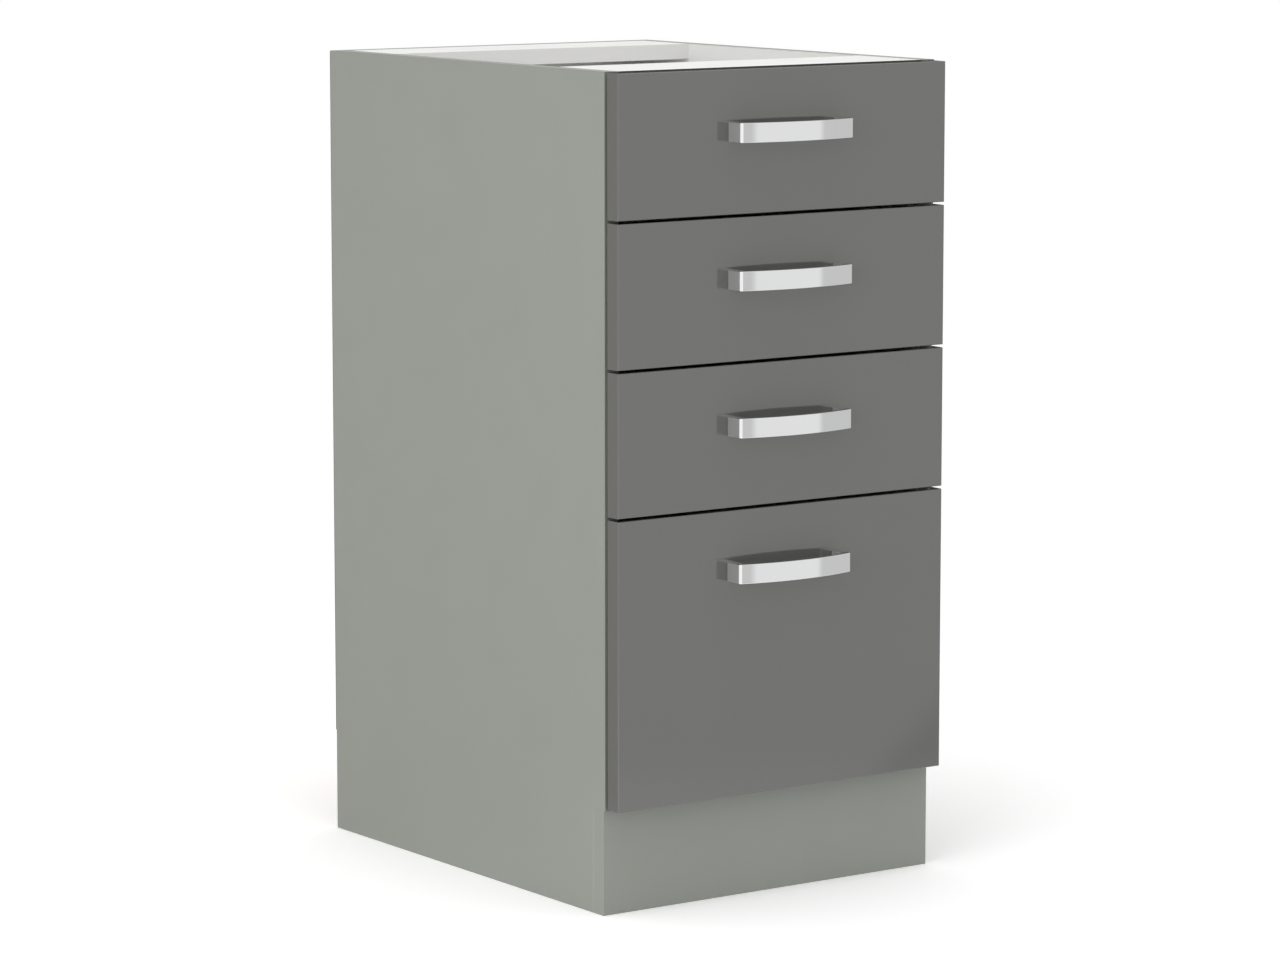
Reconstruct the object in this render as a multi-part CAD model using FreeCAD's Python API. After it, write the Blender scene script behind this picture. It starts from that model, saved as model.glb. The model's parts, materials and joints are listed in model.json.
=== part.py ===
import FreeCAD, Part
import math
import os

# Kitchen base cabinet: a board carcass with an open top, a plinth and four drawers on roller runners.
# Lengths are millimetres. +Z is up and the drawer fronts face -Y. The origin is on the floor, under
# the middle of the whole unit with its handles.

Vector = FreeCAD.Vector
ACROSS = Vector(1, 0, 0)
BACKWARD = Vector(0, 1, 0)
UP = Vector(0, 0, 1)

# Carcass boards
cabinet_width = 400.0
cabinet_height = 820.0
carcass_depth = 500.0
board = 16.0
top_rail_width = 100.0
back_panel_thickness = 3.0
back_panel_margin = 1.0

# Plinth board, which stands in a notch of the side panels
plinth_height = 104.0
plinth_thickness = 18.0
plinth_set_back = 3.0

# Drawer fronts: equal shallow ones from the top down, and a deep one that takes what is left
shallow_drawers = 3
shallow_front_height = 140.0
front_thickness = 18.0
front_stand_off = 2.0
front_side_reveal = 1.5
front_top_reveal = 1.0
front_bottom_reveal = 2.0
front_gap = 3.0
front_edge_radius = 1.0

# Bow handles
handle_length = 137.0
handle_height = 19.5
handle_reach = 30.0
handle_end_reach = 20.0
handle_leg = 9.0
handle_bar = 4.0
handle_hole_spacing = 128.0
handle_drop = 60.0
handle_corner_radius = 3.5
handle_inner_radius = 3.0
handle_edge_radius = 0.8

# Drawer boxes
box_lift = 22.0
box_headroom = 38.0
box_back_drop = 20.0
bottom_thickness = 3.0
groove_rise = 12.0
groove_depth = 8.0
groove_play = 0.1
groove_end_play = 0.5

# Roller runners, which fill the space between a drawer box and the carcass side
runner_space = 12.5
runner_steel = 1.0
runner_bend_radius = 0.6
runner_front_inset = 2.0
runner_rear_clearance = 45.0
track_rise = 3.4
track_depth = 10.4
track_lip = 2.6
track_headroom = 1.4
lift_in_length = 45.0
hook_offset = 2.0
hook_drop = 2.0
foot_width = 12.0
roller_radius = 9.0
roller_width = 5.0
roller_offset = 4.0
roller_chamfer = 0.6
roller_end_inset = 12.0
roller_gap = 0.2
pin_radius = 3.0
pin_head_radius = 4.5
pin_head = 0.8
pin_play = 0.2

# Cam locks, cam bolts and dowels
cam_radius = 7.5
cam_depth = 12.5
cam_inset = 24.0
bolt_thread_radius = 2.5
bolt_thread_length = 11.0
bolt_shank_radius = 3.4
bolt_neck_radius = 2.0
bolt_neck_length = 5.5
bolt_head_length = 4.5
dowel_radius = 4.0
dowel_length = 30.0
dowel_side_depth = 11.0
panel_cam_inset = 50.0
panel_dowel_inset = 100.0
rail_cam_inset = 35.0
rail_dowel_inset = 70.0
box_cam_rise = 32.0
box_cam_drop = 20.0

# Screws, nails, brackets and bumpers
screw_radius = 1.75
screw_length = 12.0
screw_head_radius = 3.5
screw_head = 1.2
runner_screw_inset = 35.0
box_rail_screw_inset = 90.0
box_rail_screw_margin = 0.6
box_screw_radius = 2.5
box_screw_length = 50.0
box_screw_head_radius = 4.0
box_screw_head = 3.0
box_screw_rise = 28.0
box_screw_drop = 10.0
handle_screw_radius = 2.0
handle_screw_depth = 10.0
handle_screw_head_radius = 4.0
handle_screw_head = 2.5
handle_screw_play = 0.25
nail_radius = 0.7
nail_length = 20.0
nail_head_radius = 1.5
nail_head = 0.6
nails_up_side = 6
nails_across = 3
nail_end_inset = 40.0
bracket_leg = 25.0
bracket_width = 18.0
bracket_steel = 2.0
bracket_rise = 43.0
bracket_screw_reach = 16.0
bumper_radius = 4.0
bumper_drop = 15.0
bumper_play = 0.2

# Fits of turned pieces in their bores
fit = 0.05
bore_end_play = 0.5
cam_pocket_play = 0.2

# Planes and levels that the pieces share
overall_depth = carcass_depth + front_stand_off + front_thickness + handle_reach
back_y = overall_depth / 2
panel_back_y = back_y - back_panel_thickness
carcass_front_y = back_y - carcass_depth
front_back_y = carcass_front_y - front_stand_off
front_face_y = front_back_y - front_thickness
plinth_face_y = carcass_front_y + plinth_set_back
plinth_back_y = plinth_face_y + plinth_thickness
half_width = cabinet_width / 2
inner_half = half_width - board
box_half = inner_half - runner_space
box_inner_half = box_half - board
bottom_top_z = plinth_height + board
rail_under_z = cabinet_height - board
runner_front_y = carcass_front_y + runner_front_inset
runner_back_y = panel_back_y - runner_rear_clearance
front_roller_y = runner_front_y + roller_end_inset
rear_roller_y = runner_back_y - roller_end_inset

# Heights in the runner, above the lower edge of the drawer side
roller_rise = track_rise + roller_gap + roller_radius
hook_under = roller_rise + roller_radius + roller_gap
track_ceiling = hook_under + runner_steel + track_headroom
groove_top = groove_rise + bottom_thickness + 2 * groove_play
box_rail_screw_rise = groove_top + box_rail_screw_margin + screw_radius

# Outlines of the turned fasteners, as (radius, distance along the axis) steps
bolt_neck_start = cam_inset - bolt_neck_length - bolt_head_length / 2
bolt_head_start = cam_inset - bolt_head_length / 2
cam_bolt = [
    (bolt_thread_radius, -bolt_thread_length),
    (bolt_thread_radius, 0.0),
    (bolt_shank_radius, 0.0),
    (bolt_shank_radius, bolt_neck_start),
    (bolt_neck_radius, bolt_neck_start),
    (bolt_neck_radius, bolt_head_start),
    (bolt_shank_radius, bolt_head_start),
    (bolt_shank_radius, bolt_head_start + bolt_head_length),
]
dowel = [(dowel_radius, -dowel_side_depth), (dowel_radius, dowel_length - dowel_side_depth)]
rail_screw = [
    (screw_head_radius, -screw_head),
    (screw_head_radius, 0.0),
    (screw_radius, 0.0),
    (screw_radius, screw_length),
]
rail_screw_bore = [(screw_radius, 0.0), (screw_radius, screw_length)]
box_screw = [
    (box_screw_head_radius, 0.0),
    (box_screw_radius, box_screw_head),
    (box_screw_radius, box_screw_length),
]
handle_screw = [
    (handle_screw_head_radius, -handle_screw_head),
    (handle_screw_head_radius, 0.0),
    (handle_screw_radius, 0.0),
    (handle_screw_radius, front_thickness + handle_screw_depth),
]
nail = [
    (nail_head_radius, 0.0),
    (nail_head_radius, nail_head),
    (nail_radius, nail_head),
    (nail_radius, nail_length),
]

pieces = {}
cuts = {}


def add(node, *shapes):
    """Puts shapes into a node."""
    pieces.setdefault(node, []).extend(shapes)


def cut(node, *cutters):
    """Keeps cutters to take out of a node's board when all its joints are known."""
    cuts.setdefault(node, []).extend(cutters)


def slab(x_range, y_range, z_range):
    """Board with its faces square to the axes."""
    low, high = (Vector(*corner) for corner in zip(x_range, y_range, z_range))
    return Part.makeBox(high.x - low.x, high.y - low.y, high.z - low.z, low)


def turned(steps, start, direction):
    """Solid turned about an axis, from (radius, distance along the axis) steps."""
    foot = Vector(0, 0, steps[0][1])
    tip = Vector(0, 0, steps[-1][1])
    rim = [Vector(radius, 0, distance) for radius, distance in steps]
    outline = Part.Face(Part.makePolygon([foot, *rim, tip, foot]))
    solid = outline.revolve(Vector(), UP, 360)
    solid.Placement = FreeCAD.Placement(start, FreeCAD.Rotation(UP, direction))
    return solid


def bore_for(steps, start, direction, play=fit):
    """Cutter for the bore that a turned piece sits in."""
    last = len(steps) - 1
    loose = []
    for index, (radius, distance) in enumerate(steps):
        end_play = bore_end_play * ((index == last) - (index == 0 and distance < 0))
        loose.append((radius + play, distance + end_play))
    return turned(loose, start, direction)


def rounded_face(corners, place):
    """Face inside (u, w, radius) corners, each rounded by its own radius."""
    edges = []
    starts = []
    ends = []
    count = len(corners)
    for index, (u, w, radius) in enumerate(corners):
        here = Vector(u, w, 0)
        before = Vector(*corners[index - 1][:2], 0) - here
        after = Vector(*corners[(index + 1) % count][:2], 0) - here
        before.normalize()
        after.normalize()
        half_angle = before.getAngle(after) / 2
        setback = radius / math.tan(half_angle)
        starts.append(here + before * setback)
        ends.append(here + after * setback)
        if radius:
            middle = (before + after).normalize()
            bulge = here + middle * (radius / math.sin(half_angle) - radius)
            edges.append(Part.Arc(*(place(p.x, p.y) for p in (starts[-1], bulge, ends[-1]))).toShape())
    for index in range(count):
        start = ends[index]
        finish = starts[(index + 1) % count]
        edges.append(Part.makeLine(place(start.x, start.y), place(finish.x, finish.y)))
    return Part.Face(Part.Wire(Part.__sortEdges__(edges)))


def strip_corners(path, thickness, bend_radius):
    """Corners of a strip of sheet steel bent along a path of square turns."""
    left = []
    right = []
    last = len(path) - 1
    for index, (u, w) in enumerate(path):
        here = Vector(u, w, 0)
        run_in = here - Vector(*path[max(index - 1, 0)], 0)
        run_out = Vector(*path[min(index + 1, last)], 0) - here
        sides = [run.normalize() for run in (run_in, run_out) if run.Length]
        turn = sides[0].cross(sides[-1]).z
        normal = sum((Vector(-run.y, run.x, 0) for run in sides), Vector())
        shift = normal * (thickness / 2)
        inside = bend_radius if turn else 0.0
        outside = bend_radius + thickness if turn else 0.0
        left.append((here.x + shift.x, here.y + shift.y, inside if turn > 0 else outside))
        right.append((here.x - shift.x, here.y - shift.y, outside if turn > 0 else inside))
    return left + right[::-1]


def rolled_rail(path, hand, level):
    """Runner rail of constant section; hand is -1 on the left of the cabinet and 1 on the right."""
    corners = strip_corners(path, runner_steel, runner_bend_radius)
    section = rounded_face(corners, lambda u, w: Vector(hand * (inner_half - u), runner_front_y, level + w))
    return section.extrude(BACKWARD * (runner_back_y - runner_front_y))


def front_levels():
    """Bottom and top of each drawer front, from the top of the cabinet down."""
    levels = []
    top = cabinet_height - front_top_reveal
    for _ in range(shallow_drawers):
        levels.append((top - shallow_front_height, top))
        top -= shallow_front_height + front_gap
    levels.append((plinth_height + front_bottom_reveal, top))
    return levels


def cam_joint(bolt_board, cam_board, seat, toward_cam, cam_axis):
    """Cam lock and bolt between two boards; the cam is bored along cam_axis from the face it shows on."""
    centre = seat + toward_cam * cam_inset
    base = centre - cam_axis * (board / 2)
    bolt_bore = bore_for(cam_bolt, seat, toward_cam)
    cut(bolt_board, bolt_bore)
    cut(cam_board, bolt_bore, Part.makeCylinder(cam_radius + fit, cam_depth + fit, base, cam_axis))
    cam = Part.makeCylinder(cam_radius, cam_depth, base, cam_axis)
    pocket = bore_for(cam_bolt, seat, toward_cam, cam_pocket_play)
    return cam.cut(pocket), turned(cam_bolt, seat, toward_cam)


def make_carcass_boards():
    """Side panels, bottom panel, top rails, back panel and plinth board."""
    inner_span = (-inner_half, inner_half)
    panel_span = (carcass_front_y, panel_back_y)
    notch = slab((-half_width, half_width), (carcass_front_y, plinth_back_y), (0, plinth_height))
    for node, x_range in (
        ("left_side_panel", (-half_width, -inner_half)),
        ("right_side_panel", (inner_half, half_width)),
    ):
        add(node, slab(x_range, panel_span, (0, cabinet_height)))
        cut(node, notch)
    add("bottom_panel", slab(inner_span, panel_span, (plinth_height, bottom_top_z)))
    rail_levels = (rail_under_z, cabinet_height)
    add("front_top_rail", slab(inner_span, (carcass_front_y, carcass_front_y + top_rail_width), rail_levels))
    add("rear_top_rail", slab(inner_span, (panel_back_y - top_rail_width, panel_back_y), rail_levels))
    back_half = half_width - back_panel_margin
    back_levels = (plinth_height + back_panel_margin, cabinet_height - back_panel_margin)
    add("back_panel", slab((-back_half, back_half), (panel_back_y, back_y), back_levels))
    add("plinth_board", slab((-half_width, half_width), (plinth_face_y, plinth_back_y), (0, plinth_height)))


def make_carcass_joints():
    """Cam locks and dowels that hold the bottom panel and the top rails between the side panels."""
    bottom_mid_z = plinth_height + board / 2
    rail_mid_z = cabinet_height - board / 2
    joints = (
        ("bottom_panel", carcass_front_y, 1, bottom_mid_z, panel_cam_inset, panel_dowel_inset),
        ("bottom_panel", panel_back_y, -1, bottom_mid_z, panel_cam_inset, panel_dowel_inset),
        ("front_top_rail", carcass_front_y, 1, rail_mid_z, rail_cam_inset, rail_dowel_inset),
        ("rear_top_rail", panel_back_y, -1, rail_mid_z, rail_cam_inset, rail_dowel_inset),
    )
    for hand, side in ((-1, "left_side_panel"), (1, "right_side_panel")):
        inward = ACROSS * -hand
        for panel, edge_y, step, level, cam_at, dowel_at in joints:
            seat = Vector(hand * inner_half, edge_y + step * cam_at, level)
            cam, bolt = cam_joint(side, panel, seat, inward, UP)
            add("cam_locks", cam)
            add("cam_bolts", bolt)
            dowel_seat = Vector(hand * inner_half, edge_y + step * dowel_at, level)
            dowel_bore = bore_for(dowel, dowel_seat, inward)
            cut(side, dowel_bore)
            cut(panel, dowel_bore)
            add("wood_dowels", turned(dowel, dowel_seat, inward))


def make_plinth_brackets():
    """Steel angles behind the plinth board, screwed to it and to the side panels."""
    path = [(bracket_leg, bracket_steel / 2), (bracket_steel / 2,) * 2, (bracket_steel / 2, bracket_leg)]
    corners = strip_corners(path, bracket_steel, bracket_steel)
    screw_z = bracket_rise + bracket_width / 2
    for hand, side in ((-1, "left_side_panel"), (1, "right_side_panel")):
        section = rounded_face(
            corners, lambda u, v: Vector(hand * (inner_half - u), plinth_back_y + v, bracket_rise)
        )
        angle = section.extrude(UP * bracket_width)
        fixings = (
            (side, Vector(hand * (inner_half - bracket_steel), plinth_back_y + bracket_screw_reach, screw_z),
             ACROSS * hand),
            ("plinth_board", Vector(hand * (inner_half - bracket_screw_reach), plinth_back_y + bracket_steel,
                                    screw_z), -BACKWARD),
        )
        for board_name, seat, direction in fixings:
            bore = bore_for(rail_screw_bore, seat, direction)
            angle = angle.cut(bore)
            cut(board_name, bore)
            add("carcass_screws", turned(rail_screw, seat, direction))
        add("plinth_brackets", angle)


def make_back_nails():
    """Nails through the back panel into the edges of the side panels, bottom panel and rear rail."""
    low = plinth_height + nail_end_inset
    high = cabinet_height - nail_end_inset
    for hand in (-1, 1):
        for index in range(nails_up_side):
            level = low + (high - low) * index / (nails_up_side - 1)
            edge = Vector(hand * (half_width - board / 2), back_y, level)
            add("back_panel_nails", turned(nail, edge, -BACKWARD))
    for level in (plinth_height + board / 2, cabinet_height - board / 2):
        for index in range(nails_across):
            share = (index + 1) / (nails_across + 1)
            edge = Vector((2 * share - 1) * inner_half, back_y, level)
            add("back_panel_nails", turned(nail, edge, -BACKWARD))


def roller_pin(near, far, hand, y, level):
    """Riveted pin from a rail's web at u = near to its head at u = far, with a collar beside the web."""
    step = math.copysign(1.0, far - near)
    roller_ends = sorted((roller_offset, roller_offset + roller_width), key=lambda u: abs(u - near))
    collar = abs(roller_ends[0] - near) - pin_play
    head = abs(roller_ends[1] - near) + pin_play
    steps = [
        (pin_head_radius, 0.0),
        (pin_head_radius, collar),
        (pin_radius, collar),
        (pin_radius, head),
        (pin_head_radius, head),
        (pin_head_radius, head + pin_head),
    ]
    return turned(steps, Vector(hand * (inner_half - near), y, level), ACROSS * (-hand * step))


def roller(hand, y, level):
    """Nylon roller with a bore for its pin."""
    start = Vector(hand * (inner_half - roller_offset), y, level)
    wheel = turned(
        [
            (roller_radius - roller_chamfer, 0.0),
            (roller_radius, roller_chamfer),
            (roller_radius, roller_width - roller_chamfer),
            (roller_radius - roller_chamfer, roller_width),
        ],
        start,
        ACROSS * -hand,
    )
    return wheel.cut(Part.makeCylinder(pin_radius + fit, roller_width, start, ACROSS * -hand))


def cabinet_rail(hand, level):
    """Rail on the carcass side: a channel whose floor carries the rear roller."""
    web = runner_steel / 2
    top = track_ceiling + web
    floor = track_rise - web
    lip = track_depth - web
    path = [(track_depth, top), (web, top), (web, floor), (lip, floor), (lip, track_rise + track_lip)]
    rail = rolled_rail(path, hand, level)
    x_ends = sorted((hand * (inner_half - runner_steel), hand * (inner_half - track_depth)))
    lift_in = slab(
        x_ends,
        (runner_front_y, runner_front_y + lift_in_length),
        (level + track_ceiling - runner_bend_radius, level + track_ceiling + runner_steel),
    )
    return rail.cut(lift_in)


def drawer_rail(hand, level):
    """Rail on the drawer: a foot under the side, a web and a hooked flange that runs on the front roller."""
    web = runner_space - runner_steel / 2
    flange = hook_under + runner_steel / 2
    hook = hook_offset + runner_steel / 2
    foot = -runner_steel / 2
    path = [(runner_space + foot_width, foot), (web, foot), (web, flange), (hook, flange),
            (hook, flange - hook_drop)]
    return rolled_rail(path, hand, level)


def make_runners(drawer, level):
    """Both runners of one drawer, with their rollers, pins and screws."""
    rear_screw_y = runner_back_y - runner_screw_inset
    front_screw_y = runner_front_y + runner_screw_inset
    cabinet_screws = (front_screw_y, (front_screw_y + rear_screw_y) / 2, rear_screw_y)
    drawer_screws = (runner_front_y + box_rail_screw_inset, runner_back_y - box_rail_screw_inset)
    for hand, name in ((-1, "left"), (1, "right")):
        outward = ACROSS * hand
        fixed = cabinet_rail(hand, level)
        for y in cabinet_screws:
            seat = Vector(hand * (inner_half - runner_steel), y, level + roller_rise)
            bore = bore_for(rail_screw_bore, seat, outward)
            fixed = fixed.cut(bore)
            cut(f"{name}_side_panel", bore)
            add("carcass_screws", turned(rail_screw, seat, outward))
        add(f"{name}_runner_rails", fixed)
        pin = roller_pin(runner_steel, runner_space, hand, front_roller_y, level + roller_rise)
        add("front_roller_pins", pin)
        add(f"{drawer}_front_rollers", roller(hand, front_roller_y, level + roller_rise))

        moving = drawer_rail(hand, level)
        for y in drawer_screws:
            seat = Vector(hand * (box_half + runner_steel), y, level + box_rail_screw_rise)
            bore = bore_for(rail_screw_bore, seat, -outward)
            moving = moving.cut(bore)
            cut(f"{drawer}_{name}_side", bore)
            add(f"{drawer}_fasteners", turned(rail_screw, seat, -outward))
        add(f"{drawer}_runner_rails", moving)
        pin = roller_pin(runner_space - runner_steel, 0.0, hand, rear_roller_y, level + roller_rise)
        add(f"{drawer}_fasteners", pin)
        add(f"{drawer}_rear_rollers", roller(hand, rear_roller_y, level + roller_rise))


def make_handle(drawer, front_top):
    """Bow handle: two legs and a curved flat bar, held by screws through the front."""
    level = front_top - handle_drop
    half = handle_length / 2
    rise = handle_reach - handle_end_reach
    bow_radius = (half ** 2 + rise ** 2) / (2 * rise)
    bow_centre = handle_reach - bow_radius

    def at(x, reach):
        return Vector(x, front_face_y - reach, level - handle_height / 2)

    def under_bow(half_span, radius):
        end = bow_centre + math.sqrt(radius ** 2 - half_span ** 2)
        arc = Part.Arc(at(-half_span, end), at(0, bow_centre + radius), at(half_span, end)).toShape()
        sides = [at(half_span, end), at(half_span, 0), at(-half_span, 0), at(-half_span, end)]
        return Part.Face(Part.Wire([arc, *Part.makePolygon(sides).Edges]))

    opening = under_bow(half - handle_leg, bow_radius - handle_bar)
    bow = under_bow(half, bow_radius).cut(opening).extrude(UP * handle_height)

    def upright_edges(shape, half_span):
        return [
            edge for edge in shape.Edges
            if abs(abs(edge.CenterOfMass.x) - half_span) < fit
            and edge.CenterOfMass.y < front_face_y - fit
            and abs(edge.CenterOfMass.z - level) < fit
        ]

    bow = bow.makeFillet(handle_corner_radius, upright_edges(bow, half))
    bow = bow.makeFillet(handle_inner_radius, upright_edges(bow, half - handle_leg))
    rims = [
        edge for edge in bow.Edges
        if abs(abs(edge.CenterOfMass.z - level) - handle_height / 2) < fit
        and edge.CenterOfMass.y < front_face_y - fit
    ]
    bow = bow.makeFillet(handle_edge_radius, rims)
    for x in (-handle_hole_spacing / 2, handle_hole_spacing / 2):
        seat = Vector(x, front_back_y, level)
        bow = bow.cut(bore_for(handle_screw[2:], seat, -BACKWARD))
        cut(f"{drawer}_front", bore_for(handle_screw[2:], seat, -BACKWARD, handle_screw_play))
        add(f"{drawer}_fasteners", turned(handle_screw, seat, -BACKWARD))
    add(f"{drawer}_handle", bow)


def make_front(drawer, front_bottom, front_top, groove):
    """Gloss front with softened outer edges, and the bumper pads behind its upper corners."""
    half = half_width - front_side_reveal
    panel = slab((-half, half), (front_face_y, front_back_y), (front_bottom, front_top))
    face_edges = [edge for edge in panel.Edges if abs(edge.BoundBox.YMax - front_face_y) < fit]
    add(f"{drawer}_front", panel.makeFillet(front_edge_radius, face_edges))
    cut(f"{drawer}_front", groove)
    for hand in (-1, 1):
        seat = Vector(hand * (half_width - board / 2), front_back_y, front_top - bumper_drop)
        pad = Part.makeCylinder(bumper_radius, front_stand_off - bumper_play, seat, BACKWARD)
        add(f"{drawer}_bumpers", pad)


def make_box(drawer, level, height):
    """Drawer sides, lower back and thin bottom, with the cam locks and screws that hold them together."""
    groove_low = level + groove_rise
    bottom_low = groove_low + groove_play
    bottom_top = bottom_low + bottom_thickness
    groove_half = box_inner_half + groove_depth
    bottom_half = groove_half - groove_end_play
    groove = slab(
        (-groove_half, groove_half),
        (front_back_y - groove_depth, runner_back_y),
        (groove_low, level + groove_top),
    )
    add(f"{drawer}_bottom", slab(
        (-bottom_half, bottom_half),
        (front_back_y - groove_depth + groove_end_play, runner_back_y),
        (bottom_low, bottom_top),
    ))
    back_front_y = runner_back_y - board
    back_height = height - box_back_drop
    add(f"{drawer}_back", slab(
        (-box_inner_half, box_inner_half),
        (back_front_y, runner_back_y),
        (bottom_top, level + back_height),
    ))
    for hand, name in ((-1, "left"), (1, "right")):
        side = f"{drawer}_{name}_side"
        x_range = sorted((hand * box_half, hand * box_inner_half))
        plank = slab(x_range, (front_back_y, runner_back_y), (level, level + height))
        rail_corner = [
            edge for edge in plank.Edges
            if abs(edge.CenterOfMass.x - hand * box_half) < fit and abs(edge.CenterOfMass.z - level) < fit
        ]
        add(side, plank.makeFillet(runner_bend_radius, rail_corner))
        cut(side, groove)
        side_mid_x = hand * (box_half - board / 2)
        for rise in (box_cam_rise, height - box_cam_drop):
            seat = Vector(side_mid_x, front_back_y, level + rise)
            add(f"{drawer}_fasteners", *cam_joint(f"{drawer}_front", side, seat, BACKWARD, ACROSS * hand))
        for rise in (box_screw_rise, back_height - box_screw_drop):
            seat = Vector(hand * box_half, back_front_y + board / 2, level + rise)
            bore = bore_for(box_screw, seat, ACROSS * -hand)
            cut(side, bore)
            cut(f"{drawer}_back", bore)
            add(f"{drawer}_fasteners", turned(box_screw, seat, ACROSS * -hand))
    return groove


def make_drawer(number, front_bottom, front_top):
    """One drawer: box, front, handle and runners."""
    drawer = f"drawer_{number}"
    level = front_bottom + box_lift
    height = front_top - front_bottom - box_lift - box_headroom
    groove = make_box(drawer, level, height)
    make_front(drawer, front_bottom, front_top, groove)
    make_handle(drawer, front_top)
    make_runners(drawer, level)


def save_pieces():
    """Takes the bores and grooves out of the boards and writes one file for each node."""
    os.makedirs("parts", exist_ok=True)
    for node, shapes in pieces.items():
        if node in cuts:
            shapes = [shape.cut(cuts[node]) for shape in shapes]
        solids = [solid for shape in shapes for solid in shape.Solids]
        whole = solids[0] if len(solids) == 1 else Part.makeCompound(solids)
        whole.exportStep(f"parts/{node}.step")
        print(f"{node}: {len(solids)} solids, {whole.Volume / 1000:.1f} cm3")


make_carcass_boards()
make_carcass_joints()
make_plinth_brackets()
make_back_nails()
for index, (low, high) in enumerate(front_levels()):
    make_drawer(index + 1, low, high)
save_pieces()
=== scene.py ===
# %% [markdown]
# A kitchen base cabinet with four drawers.
# The boards, runners, screws and handles already exist as exact solids, each in its place and on the body
# that moves it. This lesson dresses them: it sets up a small studio, gives every surface its finish, and
# cuts the driver recesses that are too small for the construction model.

# %% Load the frame
import bmesh
import bpy
import json
import math
from mathutils import Matrix, Vector

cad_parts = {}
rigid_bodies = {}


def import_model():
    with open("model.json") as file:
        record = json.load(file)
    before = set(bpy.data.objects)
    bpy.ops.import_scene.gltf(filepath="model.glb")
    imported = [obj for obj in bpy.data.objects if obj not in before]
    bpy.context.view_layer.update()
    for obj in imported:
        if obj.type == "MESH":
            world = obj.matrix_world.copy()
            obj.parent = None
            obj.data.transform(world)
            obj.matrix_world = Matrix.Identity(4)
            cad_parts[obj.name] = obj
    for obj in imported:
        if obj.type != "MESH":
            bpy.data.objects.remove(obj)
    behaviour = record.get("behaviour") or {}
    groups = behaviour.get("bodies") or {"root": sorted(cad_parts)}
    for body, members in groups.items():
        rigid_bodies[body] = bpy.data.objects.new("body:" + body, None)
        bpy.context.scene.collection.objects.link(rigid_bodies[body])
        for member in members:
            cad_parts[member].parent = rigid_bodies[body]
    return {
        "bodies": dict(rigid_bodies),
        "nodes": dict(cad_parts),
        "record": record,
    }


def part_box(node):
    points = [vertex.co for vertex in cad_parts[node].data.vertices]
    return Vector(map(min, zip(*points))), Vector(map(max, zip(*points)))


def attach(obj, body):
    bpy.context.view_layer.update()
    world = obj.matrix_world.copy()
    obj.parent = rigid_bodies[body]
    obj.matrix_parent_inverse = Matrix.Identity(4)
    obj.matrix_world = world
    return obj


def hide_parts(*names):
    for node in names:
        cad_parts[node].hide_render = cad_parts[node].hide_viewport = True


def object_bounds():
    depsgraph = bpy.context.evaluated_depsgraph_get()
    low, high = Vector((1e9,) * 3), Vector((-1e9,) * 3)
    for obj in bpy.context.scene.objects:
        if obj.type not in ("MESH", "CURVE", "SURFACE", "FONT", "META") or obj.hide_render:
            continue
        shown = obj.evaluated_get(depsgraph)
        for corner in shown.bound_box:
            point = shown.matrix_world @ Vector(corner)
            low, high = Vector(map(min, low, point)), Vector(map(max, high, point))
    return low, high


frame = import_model()
cad_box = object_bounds()
nodes = frame["nodes"]

# %% [markdown]
# The camera stands where the photographer stood: to the left of the cabinet, a little above its top, far
# away with a long lens. It could be placed by eye, but edges that run away from us show small errors, so
# its place, its turn and its lens were worked out from the corners of the cabinet.

# %% Camera
CAMERA_PLACE = (-2.7475, -3.8991, 1.0646)
CAMERA_TURN = 0.6138
CAMERA_DIP = 0.1412
FOCAL_LENGTH = 132.3

scene = bpy.context.scene
scene.view_settings.view_transform = "Standard"
camera = bpy.data.objects.new("camera", bpy.data.cameras.new("camera"))
scene.collection.objects.link(camera)
camera.location = CAMERA_PLACE
camera.rotation_euler = (math.pi / 2 - CAMERA_DIP, 0, -CAMERA_TURN)
camera.data.lens = FOCAL_LENGTH
scene.camera = camera
print(f"camera turned {math.degrees(CAMERA_TURN):.1f} degrees, lens {FOCAL_LENGTH} mm")

# %% [markdown]
# Finishes are written as sums, so they need something that Python can add and multiply. This small class
# holds one socket of a shader tree. A sum on values adds the Math nodes for it, and any other node comes
# from one method, which sets the node up first and then fills or links its sockets. The node editor does the
# same by hand, but a sum is easier to read and to change.

# %% A socket that can be used in sums
class Wire:
    """One output socket of a shader tree."""

    def __init__(self, socket):
        self.socket = socket

    def node(self, kind, settings, sockets, take=0):
        """Adds a node with its settings, then the value or link of each socket, and gives one output."""
        tree = self.socket.id_data
        made = tree.nodes.new(kind)
        for name, value in settings.items():
            if name == "stops":
                fill_ramp(made.color_ramp, value)
            else:
                setattr(made, name, value)
        for name, value in sockets.items():
            if isinstance(value, Wire):
                tree.links.new(value.socket, made.inputs[name])
            else:
                made.inputs[name].default_value = value
        return Wire(made.outputs[take]) if made.outputs else None

    def maths(self, operation, *values):
        return self.node("ShaderNodeMath", {"operation": operation}, dict(enumerate(values)))

    def __add__(self, other):
        return self.maths("ADD", self, other)

    def __radd__(self, other):
        return self.maths("ADD", other, self)

    def __sub__(self, other):
        return self.maths("SUBTRACT", self, other)

    def __rsub__(self, other):
        return self.maths("SUBTRACT", other, self)

    def __mul__(self, other):
        return self.maths("MULTIPLY", self, other)

    def __rmul__(self, other):
        return self.maths("MULTIPLY", other, self)

    def __abs__(self):
        return self.maths("ABSOLUTE", self)

    def __gt__(self, other):
        return self.maths("GREATER_THAN", self, other)

    def __lt__(self, other):
        return self.maths("LESS_THAN", self, other)

    def either(self, other):
        return self.maths("MAXIMUM", self, other)


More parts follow.
